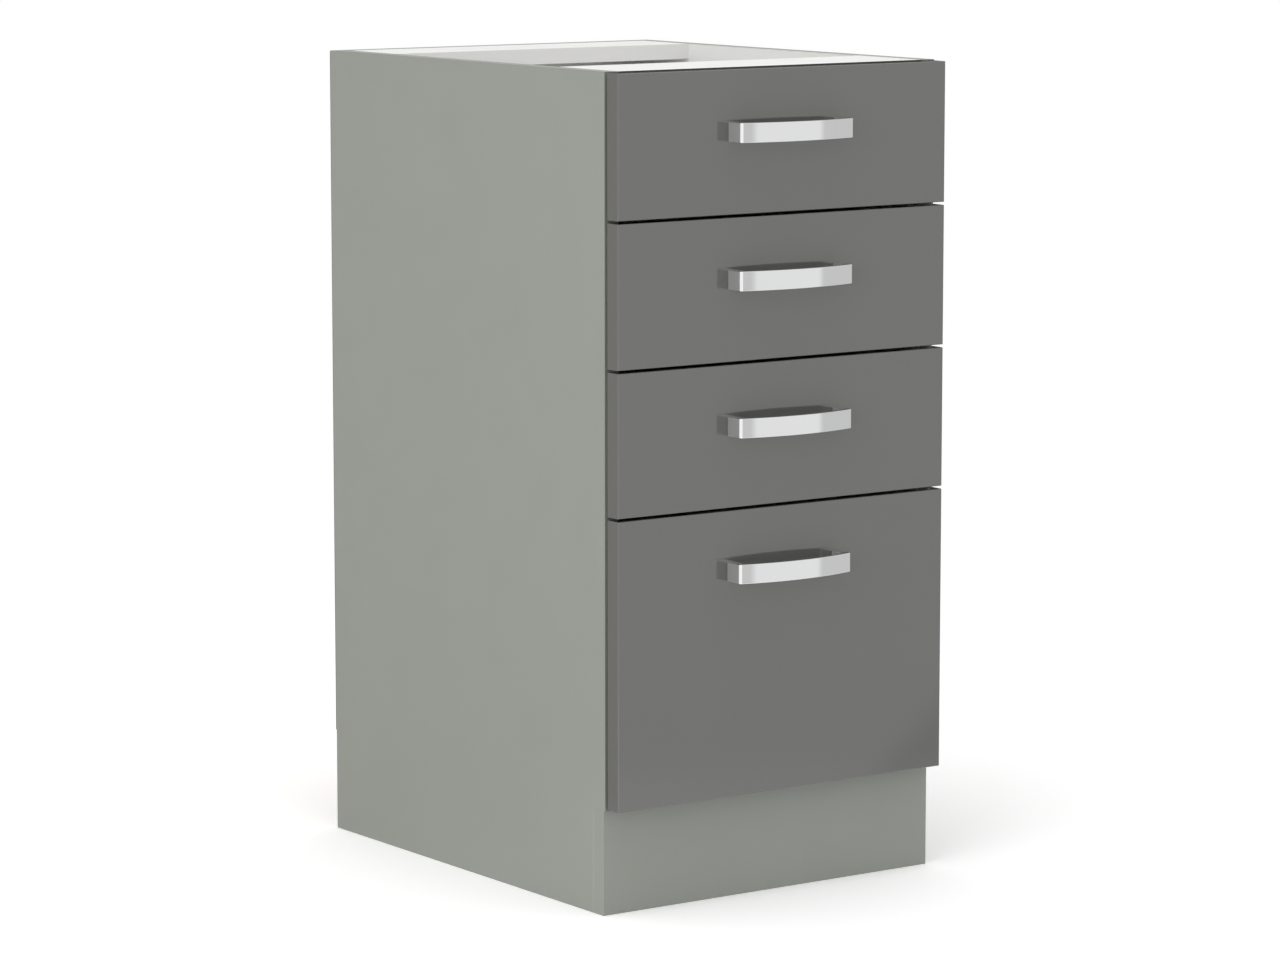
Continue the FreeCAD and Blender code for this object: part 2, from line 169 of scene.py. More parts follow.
def fill_ramp(ramp, stops):
    """Sets a colour ramp's stops from (position, colour) pairs."""
    while len(ramp.elements) < len(stops):
        ramp.elements.new(1.0)
    for element, (position, colour) in zip(ramp.elements, stops):
        element.position = position
        element.color = colour


def outputs_of(tree, kind):
    """A new input node of a tree, as a wire for each of its outputs."""
    return {output.name: Wire(output) for output in tree.nodes.new(kind).outputs}


def emptied(owner):
    """The shader tree of a material or a world, with nothing in it."""
    owner.use_nodes = True
    owner.node_tree.nodes.clear()
    return owner.node_tree


print("sums can add shader nodes")

# %% [markdown]
# Pictures give colours as numbers from 0 to 255, but light adds up in linear numbers. One helper turns the
# first into the second. Colours are mixed by a Mix node, because a Math node would turn them grey.

# %% Colours
def shown(red, green, blue):
    """The linear colour that a picture shows as these numbers from 0 to 255."""
    channels = [value / 255 for value in (red, green, blue)]
    return (*[c / 12.92 if c <= 0.04045 else ((c + 0.055) / 1.055) ** 2.4 for c in channels], 1.0)


def grey(level):
    """A linear grey."""
    return (level, level, level, 1.0)


def times(colour, factor):
    """A colour made darker or lighter by a factor."""
    return (*[factor * channel for channel in colour[:3]], 1.0)


def between(share, low, high):
    """A colour on the way from low to high, by a share that may change over the surface."""
    return share.node("ShaderNodeMix", {"data_type": "RGBA"}, {0: share, 6: low, 7: high}, take=2)


WHITE = grey(1.0)
print("white is", WHITE)

# %% [markdown]
# The studio is a white room with soft light from everywhere, as in a product picture. Rays that go straight
# from the camera, or by way of a mirror or glass, meet plain white. The light that the room sheds on boards
# is a little weaker, and two large soft boxes, at the left and overhead, make up the rest, so that the side
# and the top are brighter than the front.

# %% Room light and soft boxes
ROOM_LIGHT = 0.72
SOFT_BOX_WIDTH = 3.0
SOFT_BOXES = {
    "left_soft_box": {"place": (-4.2, -2.0, 1.4), "power": 59.0},
    "top_soft_box": {"place": (-0.5, -0.5, 4.0), "power": 36.0},
}

world = bpy.data.worlds.new("white_room")
scene.world = world
rays = outputs_of(emptied(world), "ShaderNodeLightPath")
looked_at = rays["Is Camera Ray"].either(rays["Is Glossy Ray"]).either(rays["Is Transmission Ray"])
room = looked_at.node("ShaderNodeBackground", {}, {
    "Color": WHITE,
    "Strength": ROOM_LIGHT + (1 - ROOM_LIGHT) * looked_at,
})
room.node("ShaderNodeOutputWorld", {}, {"Surface": room})


def soft_box(name, target, place, power):
    """A square lamp that faces a point."""
    lamp = bpy.data.objects.new(name, bpy.data.lights.new(name, "AREA"))
    scene.collection.objects.link(lamp)
    lamp.data.size = SOFT_BOX_WIDTH
    lamp.data.energy = power
    lamp.location = place
    lamp.rotation_euler = (Vector(target) - Vector(place)).to_track_quat("-Z", "Y").to_euler()
    lamp.visible_camera = False
    lamp.visible_glossy = False


middle = (cad_box[0] + cad_box[1]) / 2
for name, box in SOFT_BOXES.items():
    soft_box(name, middle, **box)
print(f"room light {ROOM_LIGHT}, {len(SOFT_BOXES)} soft boxes")

# %% [markdown]
# The floor is a pale sheet that takes the soft shadow of the cabinet. Further out it passes into the white
# of the room, so no edge of the sheet shows. A backdrop that curves up would do as well, but it would stand
# in the way when the cabinet is looked at from behind.

# %% Floor
FLOOR_HALF_WIDTH = 6.0
FLOOR_CLEAR_FROM = 0.7
FLOOR_CLEAR_TO = 2.2
FLOOR_COLOUR = grey(0.94)
FLOOR_SEEN = grey(1.25)


def flat_sheet(name, corners):
    """A single face through the given corners."""
    mesh = bpy.data.meshes.new(name)
    mesh.from_pydata(corners, [], [range(len(corners))])
    sheet = bpy.data.objects.new(name, mesh)
    scene.collection.objects.link(sheet)
    return sheet


def pale_floor():
    """White floor that keeps its shadow near the cabinet and melts into the room further out."""
    material = bpy.data.materials.new("pale_floor")
    tree = emptied(material)
    place = outputs_of(tree, "ShaderNodeTexCoord")["Object"]
    path = outputs_of(tree, "ShaderNodeLightPath")
    seen = path["Is Camera Ray"].either(path["Is Glossy Ray"]).either(path["Is Transmission Ray"])
    distance = place.node("ShaderNodeVectorMath", {"operation": "LENGTH"}, {0: place}, take="Value")
    far = distance.node("ShaderNodeMapRange", {"interpolation_type": "SMOOTHSTEP"}, {
        "Value": distance, "From Min": FLOOR_CLEAR_FROM, "From Max": FLOOR_CLEAR_TO,
    })
    sheet = place.node("ShaderNodeBsdfDiffuse", {}, {"Color": between(seen, FLOOR_COLOUR, FLOOR_SEEN)})
    glow = place.node("ShaderNodeEmission", {}, {"Color": WHITE, "Strength": 1.0})
    surface = place.node("ShaderNodeMixShader", {}, {0: far * seen, 1: sheet, 2: glow})
    surface.node("ShaderNodeOutputMaterial", {}, {"Surface": surface})
    return material


sides = ((-1, -1), (1, -1), (1, 1), (-1, 1))
corners = [Vector((across, back, 0)) * FLOOR_HALF_WIDTH for across, back in sides]
floor = flat_sheet("floor", corners)
floor.data.materials.append(pale_floor())
print(f"floor {2 * FLOOR_HALF_WIDTH:.0f} m wide")

# %% [markdown]
# Chrome has no colour of its own: it shows the room. In an all-white room it would look like white paint, so
# photographers stand grey cards round the set. These cards are curved screens that only mirror rays can see,
# each with a foot that lies on the floor. The one in front, at the right, is pale in the middle and darker
# at its ends, and gives each bow its two grey flanks. The two behind, at the left and at the right, keep the
# left and the upper edges of the gloss fronts dark. The right one is low, so that the white rails on top
# still shine. The greys pass softly into each other, by a ramp over the angle round the screen, in degrees.
# Near the cabinet each foot fades into white, so that its edge isn't mirrored in the sides.

# %% Grey cards for the mirrors
CARD_RADIUS = 1.8
CARD_FOOT = 0.3
CARD_FADE = 0.75
CARD_LIFT = 0.002
HIGH_CARD = 2.6
LOW_CARD = 1.05
CARD_STEP = 5.0
FLANK = grey(0.61)
PALE = grey(0.83)
LEFT_GREY = (0.46, 0.44, 0.4, 1.0)
RIGHT_GREY = grey(0.06)
CARDS = {
    "front_card": (
        HIGH_CARD,
        ((-8.0, WHITE), (0.0, FLANK), (6.8, FLANK), (10.4, PALE),
         (47.4, PALE), (50.6, FLANK), (85.0, FLANK)),
    ),
    "rear_left_card": (HIGH_CARD, ((-178.0, LEFT_GREY), (-130.0, LEFT_GREY), (-100.0, WHITE))),
    "rear_right_card": (LOW_CARD, ((85.0, FLANK), (110.0, RIGHT_GREY), (178.0, RIGHT_GREY))),
}


def card_screen(name, height, start, end):
    """Curved screen with a foot, round the handles, between two angles from straight ahead to the right."""
    profile = ((CARD_FOOT, CARD_LIFT), (CARD_RADIUS, CARD_LIFT), (CARD_RADIUS, height))
    rows = len(profile)
    steps = math.ceil((end - start) / CARD_STEP)
    points = []
    for index in range(steps + 1):
        angle = math.radians(start + (end - start) * index / steps)
        across, back = math.sin(angle), -math.cos(angle)
        points += [(radius * across, radius * back, level) for radius, level in profile]
    faces = []
    for index in range(steps):
        for row in range(rows - 1):
            corner = index * rows + row
            faces.append((corner, corner + rows, corner + rows + 1, corner + 1))
    mesh = bpy.data.meshes.new(name)
    mesh.from_pydata(points, [], faces)
    card = bpy.data.objects.new(name, mesh)
    scene.collection.objects.link(card)
    card.location = (0, cad_box[0].y, 0)
    return card


def card_greys(name, greys):
    """Glow whose grey follows the angle round the screen, and fades into white near the cabinet."""
    material = bpy.data.materials.new(name)
    place = outputs_of(emptied(material), "ShaderNodeTexCoord")["Object"]
    across = place.node("ShaderNodeSeparateXYZ", {}, {0: place}, take="X")
    back = place.node("ShaderNodeSeparateXYZ", {}, {0: place}, take="Y")
    start, end = greys[0][0], greys[-1][0]
    angle = across.maths("ARCTAN2", across, 0 - back) * math.degrees(1)
    share = (angle - start) * (1 / (end - start))
    stops = [((at - start) / (end - start), colour) for at, colour in greys]
    colour = share.node("ShaderNodeValToRGB", {"stops": stops}, {0: share})
    distance = place.node("ShaderNodeVectorMath", {"operation": "LENGTH"}, {0: place}, take="Value")
    far = distance.node("ShaderNodeMapRange", {"interpolation_type": "SMOOTHSTEP"}, {
        "Value": distance, "From Min": CARD_FOOT, "From Max": CARD_FADE,
    })
    colour = between(far, WHITE, colour)
    glow = colour.node("ShaderNodeEmission", {}, {"Color": colour, "Strength": 1.0})
    glow.node("ShaderNodeOutputMaterial", {}, {"Surface": glow})
    return material


for name, (height, greys) in CARDS.items():
    card = card_screen(name, height, greys[0][0], greys[-1][0])
    card.data.materials.append(card_greys(name, greys))
    card.visible_camera = False
    card.visible_diffuse = False
    card.visible_transmission = False
    card.visible_volume_scatter = False
    card.visible_shadow = False
print(f"{len(CARDS)} grey cards, {CARD_RADIUS} m from the handles")

# %% [markdown]
# Every finish starts from the same two things: where a point lies on its piece, and which way the surface
# faces there. Both are counted in the piece's own frame, so that a drawer keeps its finish when it moves.
# Noise is asked for by the size of its grain, in metres, because a maker knows that a board's pearl is about
# a millimetre wide, and not what scale a texture node wants.

# %% Helpers that all finishes share
FACE_LIMIT = 0.7
EDGE_SAMPLES = 6
LEFT, RIGHT = (-1, 0, 0), (1, 0, 0)
FRONT, BACK = (0, -1, 0), (0, 1, 0)
DOWN, UP = (0, 0, -1), (0, 0, 1)


def new_finish(name):
    """A material, with its place and facing wires."""
    material = bpy.data.materials.new(name)
    spots = outputs_of(emptied(material), "ShaderNodeTexCoord")
    return material, spots["Object"], spots["Normal"]


def grain(place, size, detail=2.0, stretch=(1, 1, 1)):
    """Noise from 0 to 1 with grains of a given size, drawn out along the axes by stretch."""
    drawn = place.node("ShaderNodeVectorMath", {"operation": "DIVIDE"}, {0: place, 1: stretch})
    return drawn.node("ShaderNodeTexNoise", {}, {"Vector": drawn, "Scale": 1 / size, "Detail": detail})


def faces_toward(facing, *directions):
    """1 on faces that look along one of the directions, and 0 on the rest."""
    shares = []
    for direction in directions:
        along = facing.node("ShaderNodeVectorMath", {"operation": "DOT_PRODUCT"},
                            {0: facing, 1: direction}, take="Value")
        shares.append(along > FACE_LIMIT)
    total = shares[0]
    for share in shares[1:]:
        total = total.either(share)
    return total


def along_axis(place, axis):
    """How far a point lies along one axis."""
    return place.node("ShaderNodeSeparateXYZ", {}, {0: place}, take=axis)


def bumped(place, height, depth, edge_radius):
    """Normal with a relief of a given depth, on edges that are broken by a small radius."""
    soft = place.node("ShaderNodeBevel", {"samples": EDGE_SAMPLES}, {"Radius": edge_radius})
    relief = {"Strength": 1.0, "Distance": depth, "Height": height, "Normal": soft}
    return soft.node("ShaderNodeBump", {}, relief)


def finish_with(place, sockets):
    """Joins one physical shader to the material's output."""
    shader = place.node("ShaderNodeBsdfPrincipled", {}, sockets)
    shader.node("ShaderNodeOutputMaterial", {}, {"Surface": shader})


print("helpers for finishes are ready")

# %% [markdown]
# The carcass is melamine board: wood chips pressed between two sheets of resin paper, with a strip of edging
# ironed onto the edges that show. The paper has a fine pearl, so light breaks up softly on it. The sheet is
# grey outside and white inside, and the white inside is a little darker than the other white boards, as
# painted shade. The front edges of the side panels, of the front rail and of the bottom panel get a darker
# colour, which is painted shade that makes the gaps round the drawers look black, and the front edge of the
# rear rail is a little grey, as painted shade. The rear rail has a grey strip along the wall, and the ends
# of the plinth have pale lines along their edges, which are painted highlights. Edges that nobody sees,
# under the panels and at their back, stay raw and show the chips. Image textures could show all this, but
# rules in the piece's own frame stay sharp at any distance. One function makes all of these boards, told
# which faces are which.

# %% Melamine board
PEARL_SIZE = 0.0009
PEARL_DEPTH = 0.00002
PEARL_ROUGHNESS = 0.1
CLOUD_SIZE = 0.06
CLOUD_SHARE = 0.6
CLOUD_ROUGHNESS = 0.06
BOARD_ROUGHNESS = 0.42
BOARD_EDGE_RADIUS = 0.0005
CHIP_SIZE = 0.0026
CHIP_ROUGHNESS = 0.4
CHIP_TONES = (
    (0.0, shown(112, 82, 50)),
    (0.35, shown(158, 124, 82)),
    (0.7, shown(190, 158, 112)),
    (1.0, shown(214, 188, 146)),
)
EDGING_THICKNESS = 0.0006
EDGING_JOINT = 0.00016
JOINT_SHARE = 0.35
JOINT_GREY = grey(0.05)
# The pale lines at the ends of the plinth are painted highlights on the edges of its end faces.
END_HIGHLIGHT_WIDTH = 0.0012
PAINTED_END_HIGHLIGHT = shown(157, 160, 153)
SHEET_CHANGE = 0.05
GREY_SHEET = shown(146, 149, 142)
# Painted shade: the side panels' front edging is darker, so that the gap beside the fronts looks dark.
PAINTED_SIDE_GAP_SHADE = shown(116, 118, 113)
# Painted shade: the front edges of the front rail and the bottom panel are nearly black, for the shadow in
# the gaps above and below the drawers.
PAINTED_GAP_SHADE = shown(56, 56, 55)
# Painted shade: the front edge of the rear rail is a little greyer than the white board.
PAINTED_RAIL_EDGE_SHADE = shown(231, 231, 229)
REAR_STRIP_WIDTH = 0.016
WHITE_SHEET = shown(240, 240, 238)
# Painted shade: the white on the inside of the side panels is darker than the other white boards.
INSIDE_SHEET_PAINTED_SHADE = shown(235, 235, 233)


def chips(place):
    """Colour of raw chipboard: flat chips of several tones."""
    cells = place.node("ShaderNodeTexVoronoi", {}, {"Vector": place, "Scale": 1 / CHIP_SIZE}, take="Color")
    tone = cells.node("ShaderNodeRGBToBW", {}, {0: cells})
    return tone.node("ShaderNodeValToRGB", {"stops": CHIP_TONES}, {0: tone})


def lines_at(place, spots, width):
    """1 on lines of a given width, at distances along the axes, and 0 on the rest."""
    total = None
    for axis, at in spots:
        line = abs(along_axis(place, axis) - at) < width / 2
        total = line if total is None else total.either(line)
    return total


def melamine(name, sheet, painted_shade_white_faces=(), raw_faces=(), painted_front_shade=None, joints=(), highlight_lines=(),
             rear_strip=None):
    """Board with a coloured sheet, white faces in a darker white that is painted shade, raw edges, a front
    face in a colour of its own that is painted shade, the hairlines of its edging, pale lines at both ends
    that are painted highlights, and a grey strip on top behind a line."""
    material, place, facing = new_finish(name)
    pearl = grain(place, PEARL_SIZE)
    cloud = grain(place, CLOUD_SIZE, detail=3.0)
    tone = CLOUD_SHARE * cloud + (1 - CLOUD_SHARE) * pearl
    colour = between(tone, times(sheet, 1 - SHEET_CHANGE), times(sheet, 1 + SHEET_CHANGE))
    # The white faces get the darker inside white, which is painted shade.
    if painted_shade_white_faces:
        colour = between(faces_toward(facing, *painted_shade_white_faces), colour, INSIDE_SHEET_PAINTED_SHADE)
    # The front face gets a colour of its own, which is painted shade.
    if painted_front_shade:
        colour = between(faces_toward(facing, FRONT), colour, painted_front_shade)
    if rear_strip:
        strip = faces_toward(facing, UP) * (along_axis(place, "Y") > rear_strip)
        colour = between(strip, colour, GREY_SHEET)
    rough = BOARD_ROUGHNESS + PEARL_ROUGHNESS * pearl + CLOUD_ROUGHNESS * cloud
    if joints:
        line = lines_at(place, joints, EDGING_JOINT)
        colour = between(JOINT_SHARE * line, colour, JOINT_GREY)
    # Pale lines on the end faces, which are painted highlights.
    if highlight_lines:
        line = lines_at(place, highlight_lines, END_HIGHLIGHT_WIDTH)
        colour = between(faces_toward(facing, LEFT, RIGHT) * line, colour, PAINTED_END_HIGHLIGHT)
    if raw_faces:
        raw = faces_toward(facing, *raw_faces)
        colour = between(raw, colour, chips(place))
        rough = rough + raw * CHIP_ROUGHNESS
    finish_with(place, {
        "Base Color": colour,
        "Roughness": rough,
        "Normal": bumped(place, pearl, PEARL_DEPTH, BOARD_EDGE_RADIUS),
    })
    return material


print("melamine boards can have two sheets, edging, hairlines and raw edges")

# %% [markdown]
# Now the boards get their melamine. One material for all would be quicker, but hairlines lie where a board's
# own edges are, so most boards have a material of their own. The side panels are white inside, in a darker
# white that is painted shade, and edged in front and on top, with painted shade in the colour of their front
# edging. The plinth is grey all round, with painted highlights along the edges of its ends, and the rails
# and the bottom panel are white, with painted shade on their front edges.

# %% Carcass boards
def dress(node, material):
    """Gives a piece its finish."""
    nodes[node].material_slots[0].material = material


def front_and_top_joints(node):
    """Edging hairlines of an upright panel: behind its front edge and under its top edge."""
    low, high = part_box(node)
    return ("Y", low.y + EDGING_THICKNESS), ("Z", high.z - EDGING_THICKNESS)


# The colour of the side panels' front edging is painted shade.
for node, inside in (("left_side_panel", RIGHT), ("right_side_panel", LEFT)):
    joints = front_and_top_joints(node)
    dress(node, melamine(node, GREY_SHEET, [inside], [DOWN, BACK], PAINTED_SIDE_GAP_SHADE, joints))
plinth_low, plinth_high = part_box("plinth_board")
plinth_highlight_lines = [("Y", plinth_low.y + END_HIGHLIGHT_WIDTH / 2), ("Y", plinth_high.y - END_HIGHLIGHT_WIDTH / 2)]
# The plinth's pale end lines are painted highlights.
dress("plinth_board", melamine("plinth_board", GREY_SHEET, raw_faces=[DOWN], highlight_lines=plinth_highlight_lines))

rail_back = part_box("rear_top_rail")[1].y
# The colour of the rear rail's front edge is painted shade.
dress("rear_top_rail", melamine("rear_rail_board_with_painted_edge_shade", WHITE_SHEET, raw_faces=[BACK], painted_front_shade=PAINTED_RAIL_EDGE_SHADE,
                                rear_strip=rail_back - REAR_STRIP_WIDTH))
# The front rail and the bottom panel get a nearly black front edge, which is painted shade.
painted_gap_shade_board = melamine("white_board_with_painted_gap_shade", WHITE_SHEET, raw_faces=[BACK], painted_front_shade=PAINTED_GAP_SHADE)
for node in ("bottom_panel", "front_top_rail"):
    dress(node, painted_gap_shade_board)
print("side panels, plinth, bottom panel and top rails are dressed")

# %% [markdown]
# The drawer boxes are made of the same white board, with edging on their upper edges. Their bottoms, and
# the back of the cabinet, are hardboard: thin, brown and fibrous, with white lacquer on the side that shows.
# The brown side gets soft fibres that lie in all directions. One noise would make spots, so two are mixed,
# each drawn out along another axis of the sheet. The saw leaves the edges of the cabinet's back open, so
# they are sealed with grey paint.

# %% Drawer boxes, drawer bottoms and cabinet back
FIBRE_LIGHT = shown(170, 128, 84)
FIBRE_DARK = shown(112, 78, 48)
LACQUER = shown(244, 244, 242)
EDGE_PAINT = shown(128, 130, 124)
LACQUER_SHADE = 0.94
LACQUER_SMOOTHING = 0.35
FIBRE_SIZE = 0.0007
FIBRE_DEPTH = 0.00003
FIBRE_SHARE = 0.7
FIBRE_ROUGHNESS = 0.08
FIBRE_DRAW = 8
FIBRES_ACROSS, FIBRES_BACK, FIBRES_UP = (FIBRE_DRAW, 1, 1), (1, FIBRE_DRAW, 1), (1, 1, FIBRE_DRAW)
STAIN_SIZE = 0.03
HARDBOARD_ROUGHNESS = 0.75
HARDBOARD_EDGE_RADIUS = 0.0002


def hardboard(name, white_face, fibre_axes, painted_edges=()):
    """Thin brown board with one lacquered face; its fibres lie along the two axes of the sheet."""
    material, place, facing = new_finish(name)
    first, second = fibre_axes
    fibres = 0.5 * grain(place, FIBRE_SIZE, stretch=first) + 0.5 * grain(place, FIBRE_SIZE, stretch=second)
    stain = grain(place, STAIN_SIZE, detail=4.0)
    brown = between(FIBRE_SHARE * fibres + (1 - FIBRE_SHARE) * stain, FIBRE_DARK, FIBRE_LIGHT)
    if painted_edges:
        brown = between(faces_toward(facing, *painted_edges), brown, EDGE_PAINT)
    white = faces_toward(facing, white_face)
    lacquer = between(stain, times(LACQUER, LACQUER_SHADE), LACQUER)
    finish_with(place, {
        "Base Color": between(white, brown, lacquer),
        "Roughness": HARDBOARD_ROUGHNESS - LACQUER_SMOOTHING * white + FIBRE_ROUGHNESS * fibres,
        "Normal": bumped(place, fibres, FIBRE_DEPTH, HARDBOARD_EDGE_RADIUS),
    })
    return material


DRAWERS = [name for name in frame["bodies"] if name.startswith("drawer_") and "rollers" not in name]
SAWN_FACES = {"left_side": [DOWN, BACK], "right_side": [DOWN, BACK], "back": [DOWN]}
for drawer in DRAWERS:
    for board, sawn in SAWN_FACES.items():
        node = f"{drawer}_{board}"
        joints = [("Z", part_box(node)[1].z - EDGING_THICKNESS)]
        dress(node, melamine(node, WHITE_SHEET, raw_faces=sawn, joints=joints))
bottom_board = hardboard("drawer_bottom_board", UP, (FIBRES_ACROSS, FIBRES_BACK))
for drawer in DRAWERS:
    dress(f"{drawer}_bottom", bottom_board)
back_edges = [LEFT, RIGHT, UP, DOWN]
dress("back_panel", hardboard("back_board", FRONT, (FIBRES_ACROSS, FIBRES_UP), back_edges))
print(f"{len(DRAWERS)} drawer boxes and the cabinet back are dressed")

# %% [markdown]
# The drawer fronts are fibreboard wrapped in a dark grey high-gloss foil, with a white sheet at the back. A
# gloss foil is never quite flat: it follows the fibres below in waves a few millimetres wide, which bend
# mirrored lines. That orange peel could be modelled, but it is only microns deep, so a relief in the finish
# does. The gloss itself is a low roughness, with a faint haze.

# %% Gloss fronts
GLOSS_GREY = shown(93, 93, 90)
GLOSS_CHANGE = 0.04
GLOSS_ROUGHNESS = 0.025
GLOSS_IOR = 1.9
HAZE_SIZE = 0.09
HAZE_SHARE = 0.7
HAZE_ROUGHNESS = 0.012
SPECK_SIZE = 0.0006
PEEL_SIZE = 0.007
PEEL_DEPTH = 0.000004
FRONT_EDGE_RADIUS = 0.0006
REAR_SHEET_ROUGHNESS = 0.4


def gloss_front():
    """Dark grey gloss foil outside, white sheet at the back."""
    material, place, facing = new_finish("gloss_front")
    peel = grain(place, PEEL_SIZE, detail=1.0)
    haze = grain(place, HAZE_SIZE, detail=3.0)
    speck = grain(place, SPECK_SIZE, detail=1.0)
    rear = faces_toward(facing, BACK)
    tone = haze * HAZE_SHARE + speck * (1 - HAZE_SHARE)
    foil = between(tone, times(GLOSS_GREY, 1 - GLOSS_CHANGE), times(GLOSS_GREY, 1 + GLOSS_CHANGE))
    finish_with(place, {
        "Base Color": between(rear, foil, WHITE_SHEET),
        "Roughness": GLOSS_ROUGHNESS + HAZE_ROUGHNESS * haze + REAR_SHEET_ROUGHNESS * rear,
        "IOR": GLOSS_IOR,
        "Normal": bumped(place, peel, PEEL_DEPTH, FRONT_EDGE_RADIUS),
    })
    return material


gloss = gloss_front()
for drawer in DRAWERS:
    dress(f"{drawer}_front", gloss)
print(f"{len(DRAWERS)} gloss fronts")

# %% [markdown]
# The bow handles are cast metal with a polished chrome plate. Polishing leaves hair-fine lines along the
# bar, and fingers leave a slight haze. Both are small changes of roughness and relief on a full mirror. The
# outer sides of the two legs are rougher and less metallic, and their grey colour is painted shade, which
# stands in for the darker reflection on them. The upper and lower edges of the bar get a dark grey, which is
# painted shade along the bar. Two materials on picked faces would do the same, but a rule on which way the
# surface faces needs no picking.

# %% Chrome handles
CHROME = (0.89, 0.893, 0.9, 1.0)
CHROME_SHADE = 0.97
CHROME_ROUGHNESS = 0.035
# Painted shade: the grey of the legs' outer sides stands in for the darker reflection there.
LEG_SIDE_PAINTED_SHADE = shown(176, 176, 174)
SATIN_METAL = 0.4
SATIN_ROUGHNESS = 0.35
# Painted shade: the dark grey of the bar's upper and lower edges.
BAR_EDGE_PAINTED_SHADE = grey(0.3)
LEG_SIDE_LIMIT = 0.96
BAR_EDGE_LIMIT = 0.6
BAR_THICKNESS = 0.0045
BAR_END_REACH = 0.02
HANDLE_EDGE_RADIUS = 0.0003
POLISH_SIZE = 0.0004
POLISH_DRAW = (60, 1, 1)
POLISH_DEPTH = 0.0000004
POLISH_ROUGHNESS = 0.02
FINGER_SIZE = 0.02
FINGER_ROUGHNESS = 0.03


def chrome():
    """Polished chrome with polishing lines along the bar, satin legs whose grey is painted shade, and dark
    grey edges of the bar that are painted shade.
    """
    material, place, facing = new_finish("chrome_plate")
    leg_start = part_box("drawer_1_front")[0].y - BAR_END_REACH + BAR_THICKNESS
    polish = grain(place, POLISH_SIZE, stretch=POLISH_DRAW)
    fingers = grain(place, FINGER_SIZE, detail=4.0)
    # The outer sides of the legs are satin, with a grey that is painted shade.
    satin_and_painted_shade = abs(along_axis(facing, "X")) > LEG_SIDE_LIMIT
    # The upper and lower edges of the bar get painted shade.
    edge = (abs(along_axis(facing, "Z")) > BAR_EDGE_LIMIT) * (along_axis(place, "Y") < leg_start)
    plate = between(fingers, times(CHROME, CHROME_SHADE), CHROME)
    plate = between(edge, plate, BAR_EDGE_PAINTED_SHADE)
    rough = CHROME_ROUGHNESS + FINGER_ROUGHNESS * fingers + POLISH_ROUGHNESS * polish
    finish_with(place, {
        "Base Color": between(satin_and_painted_shade, plate, LEG_SIDE_PAINTED_SHADE),
        "Metallic": 1 - (1 - SATIN_METAL) * satin_and_painted_shade,
        "Roughness": rough + SATIN_ROUGHNESS * satin_and_painted_shade,
        "Normal": bumped(place, polish, POLISH_DEPTH, HANDLE_EDGE_RADIUS),
    })
    return material


chrome_plate = chrome()
for drawer in DRAWERS:
    dress(f"{drawer}_handle", chrome_plate)
print(f"{len(DRAWERS)} chrome handles")

# %% [markdown]
# Inside the unit there is hardware. The rails are rolled steel with a white epoxy coat, which has a fine
# orange peel and grey rub marks along the way that the rollers go: a noise drawn out that way, of which only
# the peaks are kept. Screws, cams, brackets, pins and nails are zinc-plated. That plating grows in small
# crystals, each of its own grey, so it starts from cells and not from a smooth noise.

# %% Metal of the hardware
METAL_EDGE_RADIUS = 0.0002
EPOXY = shown(233, 233, 229)
EPOXY_ROUGHNESS = 0.3
EPOXY_PEEL_SIZE = 0.0012
EPOXY_PEEL_DEPTH = 0.00002
EPOXY_PEEL_ROUGHNESS = 0.12
RUB_GREY = shown(150, 150, 148)
RUB_SIZE = 0.004
RUB_DRAW = (1, 40, 1)
RUB_START = 0.66
RUB_SHARE = 0.18
RUB_ROUGHNESS = 0.5
ZINC_LIGHT = (0.72, 0.72, 0.7, 1.0)
ZINC_DARK = (0.5, 0.5, 0.5, 1.0)
ZINC_ROUGHNESS = 0.24
CRYSTALS_IN_METRE = 900.0
CRYSTAL_SHARE = 0.4
CRYSTAL_ROUGHNESS = 0.06
ZINC_CLOUD_SIZE = 0.004
ZINC_CLOUD_DEPTH = 0.00001
ZINC_CLOUD_ROUGHNESS = 0.16


def epoxy_steel():
    """White epoxy coat on rolled steel."""
    material, place, _ = new_finish("white_epoxy")
    peel = grain(place, EPOXY_PEEL_SIZE)
    rubs = grain(place, RUB_SIZE, detail=3.0, stretch=RUB_DRAW)
    worn = (rubs > RUB_START) * RUB_SHARE
    finish_with(place, {
        "Base Color": between(worn, EPOXY, RUB_GREY),
        "Roughness": EPOXY_ROUGHNESS + EPOXY_PEEL_ROUGHNESS * peel + RUB_ROUGHNESS * worn,
        "Normal": bumped(place, peel, EPOXY_PEEL_DEPTH, METAL_EDGE_RADIUS),
    })
    return material


def zinc():
    """Zinc plate with cloudy crystals."""
    material, place, _ = new_finish("zinc_plate")
    cells = {"Vector": place, "Scale": CRYSTALS_IN_METRE}
    crystals = place.node("ShaderNodeTexVoronoi", {}, cells, take="Color")
    crystal = crystals.node("ShaderNodeRGBToBW", {}, {0: crystals})
    cloud = grain(place, ZINC_CLOUD_SIZE, detail=4.0)
    tone = CRYSTAL_SHARE * crystal + (1 - CRYSTAL_SHARE) * cloud
    finish_with(place, {
        "Base Color": between(tone, ZINC_DARK, ZINC_LIGHT),
        "Metallic": 1.0,
        "Roughness": ZINC_ROUGHNESS + ZINC_CLOUD_ROUGHNESS * cloud + CRYSTAL_ROUGHNESS * crystal,
        "Normal": bumped(place, cloud, ZINC_CLOUD_DEPTH, METAL_EDGE_RADIUS),
    })
    return material


hardware = {"runner_paint": epoxy_steel(), "zinc_steel": zinc()}
print("finishes of", ", ".join(hardware))

